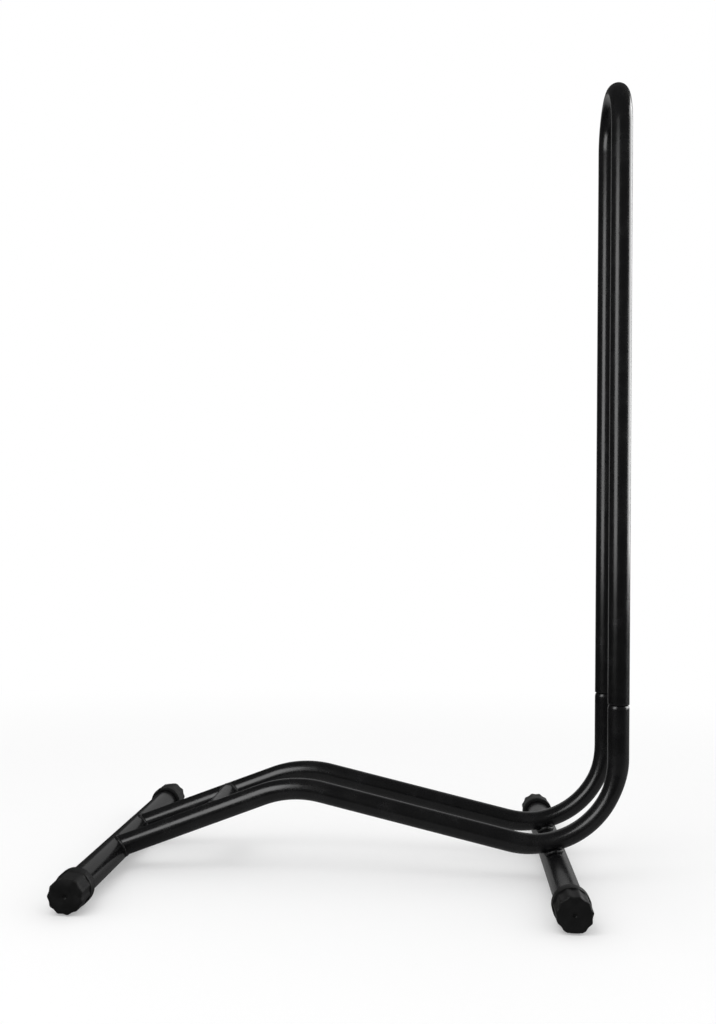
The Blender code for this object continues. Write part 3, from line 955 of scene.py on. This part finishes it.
@dataclass(frozen=True)
class WeldBead:
    """A weld bead round a joint, with the overlapping ripples that the torch leaves.

    Slow waves round the bead and a size of its own for each ripple make it uneven.
    """

    radius: float = 1.2 * MM
    offset: float = 0.1 * MM
    ripple_pitch: float = 1.6 * MM
    ripple_depth: float = 0.18 * MM
    ripple_power: float = 0.7
    ripple_sink: float = 0.6
    crescent: float = 0.35
    unevenness: float = 0.34
    wander: float = 0.3 * MM
    wave_numbers: tuple[int, ...] = (2, 3, 5, 7)
    wave_sizes: tuple[float, float] = (0.3, 1.0)
    ripple_spread: float = 0.25
    steps_per_ripple: int = 8
    sides: int = 20
    ring_r: float = 1.0
    ring_tube_r: float = 0.25
    samples: int = 90
    look_ahead: float = 0.01

    def ring(self, name: str, line: WeldLine) -> tuple[Workpiece, int]:
        """Start the bead as a plain ring.

        Args:
            name: The piece's name.
            line: The line that the bead follows.

        Returns:
            The ring, and how many ripples the bead has.
        """
        rounds = [line.point(2 * math.pi * step / self.samples) for step in range(self.samples)]
        length = sum((b - a).length for a, b in zip(rounds, rounds[1:] + rounds[:1]))
        ripples = round(length / self.ripple_pitch)
        free_hands()
        segments = {"major_segments": ripples * self.steps_per_ripple, "minor_segments": self.sides}
        radii = {"major_radius": self.ring_r, "minor_radius": self.ring_tube_r}
        bpy.ops.mesh.primitive_torus_add(**radii, **segments)
        return Workpiece(name), ripples

    def lay(self, name: str, line: WeldLine, seed: int) -> Workpiece:
        """Lay a bead along a line, by moving each point of a ring to its place in the ripples.

        Args:
            name: The piece's name.
            line: The line that the bead follows.
            seed: Starts the bead's own unevenness.

        Returns:
            The finished bead.
        """
        chance = random.Random(seed)
        bead, ripples = self.ring(name, line)
        starts = {number: chance.uniform(0, 2 * math.pi) for number in self.wave_numbers}
        waves = [(number, start, chance.uniform(*self.wave_sizes)) for number, start in starts.items()]
        sizes = [chance.uniform(-self.ripple_spread, self.ripple_spread) for _ in range(ripples)]
        for point in bead.item.data.vertices:
            turn = math.atan2(point.co.y, point.co.x) % (2 * math.pi)
            round_angle = math.atan2(point.co.z, point.co.xy.length - self.ring_r)
            slow = sum(size * math.sin(number * turn + start) for number, start, size in waves) / len(waves)
            phase = ripples * turn / (2 * math.pi) + self.crescent * math.cos(round_angle)
            crest = math.sin(math.pi * (phase % 1.0)) ** self.ripple_power
            own = 1 + self.unevenness * (slow + sizes[int(phase) % ripples])
            reach = self.radius * own + self.ripple_depth * (crest - self.ripple_sink)
            away = line.lift(turn)
            ahead = line.point(turn + self.look_ahead) - line.point(turn - self.look_ahead)
            beside = away.cross(ahead).normalized()
            spot = line.point(turn) + beside * (self.wander * slow)
            point.co = spot + (away * math.cos(round_angle) + beside * math.sin(round_angle)) * reach
        bead.edit()
        bead.heal()
        return bead


@dataclass(frozen=True)
class Welds:
    """The six weld beads of the frame."""

    bead: WeldBead = WeldBead()
    crossing_bead: WeldBead = WeldBead(radius=1.8 * MM, unevenness=0.5, wander=0.6 * MM)
    crossing_reach: float = 7.2 * MM

    def crossing(self, offset: Vector) -> CrossingLine:
        """Find the line round the spot where one rail lies across the rear leg.

        Args:
            offset: The rail's place beside the middle of the slot.

        Returns:
            The line.
        """
        apart = STAND.cradle_centre - STAND.rear_leg
        normal = Vector((apart.x, 0, apart.z)).normalized()
        along = Vector((normal.z, 0, -normal.x))
        contact = STAND.rear_leg + offset + normal * (STAND.leg_r + STAND.gap / 2)
        return CrossingLine(contact, normal, along, self.crossing_reach)

    def run(self, coat: Material) -> None:
        """Lay all the beads of both rails.

        Args:
            coat: Their finish.
        """
        ramp = STAND.slope(STAND.ramp_angle)
        shift = -STAND.ramp_lift * math.cos(STAND.ramp_angle)
        rail_r, leg_r, bar_r = (r + self.bead.offset for r in (STAND.rail_r, STAND.leg_r, STAND.crossbar_r))
        for number, side in enumerate(Side, start=1):
            offset = ACROSS * (side.value * STAND.rail_spacing / 2)
            foot = SaddleLine(STAND.front_leg + offset, ramp, ACROSS, rail_r, leg_r, shift)
            end = SaddleLine(STAND.crossbar_middle + offset, -ACROSS * side.value, ramp, bar_r, rail_r)
            joints = (
                ("front", self.bead, foot),
                ("rear", self.crossing_bead, self.crossing(offset)),
                ("crossbar", self.bead, end),
            )
            for place, pattern, line in joints:
                bead = pattern.lay(f"{place}_{side.word}_weld_bead", line, seed=number + 10 * len(place))
                bead.dress(coat, Slot.WELD, Body.FRAME, f"{place}_{side.word}_weld")


class Task(Enum):
    """What a lamp is there for: glints in the coat, or plain light on all that is matt."""

    GLINTS = "glints"
    LIGHT = "light"


@dataclass(frozen=True)
class SoftBox:
    """A studio lamp: an evenly lit rectangle that points at the stand."""

    name: str
    place: tuple[float, float, float]
    aim: tuple[float, float, float]
    width: float
    height: float
    brightness: float
    task: Task = Task.GLINTS

    def hang(self) -> None:
        """Put the lamp in the scene. Its brightness is that of its face, where 1 is white."""
        data = bpy.data.lights.new(self.name, "AREA")
        data.shape = "RECTANGLE"
        data.size = self.width
        data.size_y = self.height
        data.energy = self.brightness * self.width * self.height * math.pi
        lamp = bpy.data.objects.new(self.name, data)
        lamp.location = self.place
        toward = Vector(self.aim) - Vector(self.place)
        lamp.rotation_mode = "QUATERNION"
        lamp.rotation_quaternion = toward.to_track_quat("-Z", "Y")
        lamp.visible_camera = False
        lamp.visible_diffuse = self.task is Task.LIGHT
        lamp.visible_glossy = self.task is Task.GLINTS
        bpy.context.scene.collection.objects.link(lamp)
        LOG.info("lamp %s", self.name)


@dataclass(frozen=True)
class SoftEdge:
    """A soft edge across an axis, with the level that a brightness has before its start."""

    axis: str
    start: float
    end: float
    level: float


@dataclass(frozen=True)
class Studio:
    """The white room: a pale floor, plain surroundings and the lamps.

    The floor turns into the backdrop's white between two radii, and is partly that already inside them. In
    reflections the floor is a painted glow and the room has one level, each dimmer past edges at the left
    and in front; the floor's dimming there is painted shade.
    """

    floor_size: float = 14.0
    floor_colour: str = "#f8f8f8"
    floor_roughness: float = 0.8
    floor_veil: float = 0.3
    clear_radius: float = 0.5
    fade_radius: float = 1.4
    # Painted glow of the floor in reflections, with painted shade past its edges at the left and in front
    painted_floor_glow: float = 0.24
    painted_floor_shade_edges: tuple[SoftEdge, ...] = (SoftEdge("X", -0.3, -0.1, 0.02), SoftEdge("Y", -0.45, -0.25, 0.02))
    ambient: float = 0.95
    mirrored_room: float = 0.06
    room_edges: tuple[SoftEdge, ...] = (SoftEdge("X", -0.45, -0.08, 0.03), SoftEdge("Y", -0.2, 1.0, 0.08))
    lamps: tuple[SoftBox, ...] = (
        SoftBox("key_box_left", (-0.44, -0.535, 0.604), (0.04, 0.34, 0.604), 0.535, 0.68, 4.2),
        SoftBox("rim_box_right", (1.72, 0.5, 1.05), (0.2, 0.0, 0.95), 1.6, 1.6, 6.3),
        SoftBox("card_behind", (0.2, 1.4, 0.65), (0.2, 0.0, 0.65), 1.6, 1.3, 0.29),
        SoftBox("top_box", (-0.6, -0.8, 2.0), (0.0, 0.0, 0.0), 1.2, 1.2, 1.6, task=Task.LIGHT),
    )

    def grade(
        self, tree: NodeTree, place: NodeSocket, level: float | NodeSocket, edges: tuple[SoftEdge, ...]
    ) -> NodeSocket:
        """Grade a brightness over soft edges.

        Args:
            tree: The tree that it goes into.
            place: The coordinates.
            level: The brightness past all the edges.
            edges: The edges, each of which overrides the ones before it.

        Returns:
            The graded brightness.
        """
        split = add_node(tree, "ShaderNodeSeparateXYZ", {"Vector": place})
        for edge in edges:
            ends = {"Value": split.outputs[edge.axis], "From Min": edge.start, "From Max": edge.end}
            levels = {"To Min": edge.level, "To Max": level}
            fade = add_node(tree, "ShaderNodeMapRange", ends | levels, interpolation_type="SMOOTHSTEP")
            level = fade.outputs["Result"]
        return level

    def surroundings(self) -> None:
        """Make the world: white to the camera, dim in reflections, and a plain level of light elsewhere."""
        world = bpy.data.worlds.new("white_room")
        bpy.context.scene.world = world
        world.use_nodes = True
        tree = world.node_tree
        rays = add_node(tree, "ShaderNodeLightPath", {})
        way = add_node(tree, "ShaderNodeTexCoord", {}).outputs["Generated"]
        mirrored = self.grade(tree, way, self.mirrored_room, self.room_edges)
        indirect = {"Factor": rays.outputs["Is Glossy Ray"], 2: self.ambient, 3: mirrored}
        level = add_node(tree, "ShaderNodeMix", indirect, data_type="FLOAT")
        direct = {"Factor": rays.outputs["Is Camera Ray"], 2: level.outputs[0], 3: 1.0}
        seen = add_node(tree, "ShaderNodeMix", direct, data_type="FLOAT")
        tree.links.new(seen.outputs[0], tree.nodes["Background"].inputs["Strength"])
        tree.nodes["Background"].inputs["Color"].default_value = (1, 1, 1, 1)

    def floor(self) -> None:
        """Lay the pale floor. Reflections see it as a dim painted glow, with painted shade at the left and
        in front of the stand.
        """
        free_hands()
        bpy.ops.mesh.primitive_plane_add(size=self.floor_size)
        floor = Workpiece("studio_floor")
        material = bpy.data.materials.new("matt_white_floor_vinyl")
        material.use_nodes = True
        tree = material.node_tree
        shader = tree.nodes["Principled BSDF"]
        shader.inputs["Base Color"].default_value = linear_colour(self.floor_colour)
        shader.inputs["Roughness"].default_value = self.floor_roughness
        place = add_node(tree, "ShaderNodeTexCoord", {}).outputs["Object"]
        away = add_node(tree, "ShaderNodeVectorMath", {0: place}, operation="LENGTH").outputs["Value"]
        radii = {"From Min": self.clear_radius, "From Max": self.fade_radius, "To Min": self.floor_veil}
        distance = {"Value": away, **radii}
        fade = add_node(tree, "ShaderNodeMapRange", distance, interpolation_type="SMOOTHSTEP")
        rays = add_node(tree, "ShaderNodeLightPath", {})
        veil = {0: fade.outputs["Result"], 1: rays.outputs["Is Camera Ray"]}
        seen = add_node(tree, "ShaderNodeMath", veil, operation="MULTIPLY")
        white = add_node(tree, "ShaderNodeEmission", {})
        veiled = {0: seen.outputs["Value"], 1: shader.outputs["BSDF"], 2: white.outputs["Emission"]}
        mix = add_node(tree, "ShaderNodeMixShader", veiled)
        # Reflections see a painted glow instead of the lit floor, darkened as painted shade at the left and
        # in front
        mirrored = self.grade(tree, place, self.painted_floor_glow, self.painted_floor_shade_edges)
        glow = add_node(tree, "ShaderNodeEmission", {"Strength": mirrored})
        layers = {0: rays.outputs["Is Glossy Ray"], 1: mix.outputs["Shader"], 2: glow.outputs["Emission"]}
        surface = add_node(tree, "ShaderNodeMixShader", layers)
        tree.links.new(surface.outputs["Shader"], tree.nodes["Material Output"].inputs["Surface"])
        floor.item.data.materials.append(material)

    def set_up(self) -> None:
        """Lay the floor, make the surroundings and hang the lamps."""
        self.floor()
        self.surroundings()
        for lamp in self.lamps:
            lamp.hang()
        bpy.context.scene.view_settings.view_transform = "Standard"


@dataclass(frozen=True)
class PhotoCamera:
    """The camera at the photograph's viewing angle."""

    place: tuple[float, float, float] = (0.07282, -1.10879, 0.31305)
    yaw: float = -0.07271
    pitch: float = 0.0272
    roll: float = 0.01242
    focal_pixels: float = 1124.42
    image_height: int = 1024
    sensor: float = 36.0
    clip_start: float = 0.01

    def set_up(self) -> None:
        """Put the camera in the scene."""
        level = math.cos(self.pitch)
        ahead = Vector((math.sin(self.yaw) * level, math.cos(self.yaw) * level, math.sin(self.pitch)))
        right = Vector((math.cos(self.yaw), -math.sin(self.yaw), 0))
        up = right.cross(ahead)
        rolled_right = right * math.cos(self.roll) + up * math.sin(self.roll)
        rolled_up = up * math.cos(self.roll) - right * math.sin(self.roll)
        data = bpy.data.cameras.new("photo_camera")
        data.sensor_width = self.sensor
        data.lens = self.focal_pixels * self.sensor / self.image_height
        data.clip_start = self.clip_start
        camera = bpy.data.objects.new("photo_camera", data)
        turn = Matrix((rolled_right, rolled_up, -ahead)).transposed()
        camera.matrix_world = Matrix.Translation(self.place) @ turn.to_4x4()
        bpy.context.scene.collection.objects.link(camera)
        bpy.context.scene.camera = camera


def write_sizes() -> None:
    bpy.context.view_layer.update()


def main() -> None:
    """Build every piece of the stand, then the studio and the camera."""
    logging.basicConfig(level=logging.INFO, format="%(name)s: %(message)s")
    coat = PowderCoat("black_powder_coat_on_rails").make()
    hoop_coat = PowderCoat("black_powder_coat_on_hoop").make()
    leg_coat = PowderCoat("black_powder_coat_on_legs").make()
    weld_coat = PowderCoat("black_powder_coat_on_welds", roughness=0.34, worn_roughness=0.46).make()
    plastic = MouldedPlastic("black_moulded_polypropylene").make()
    tubework = Tubework()
    for side in Side:
        tubework.rail(side, coat)
    tubework.hoop(hoop_coat)
    tubework.leg("front_leg", STAND.front_leg, leg_coat)
    tubework.leg("rear_leg", STAND.rear_leg, leg_coat)
    tubework.crossbar(coat)
    EndCap().fit(plastic)
    Welds().run(weld_coat)
    Studio().set_up()
    PhotoCamera().set_up()
    write_sizes()


if __name__ == "__main__":
    main()
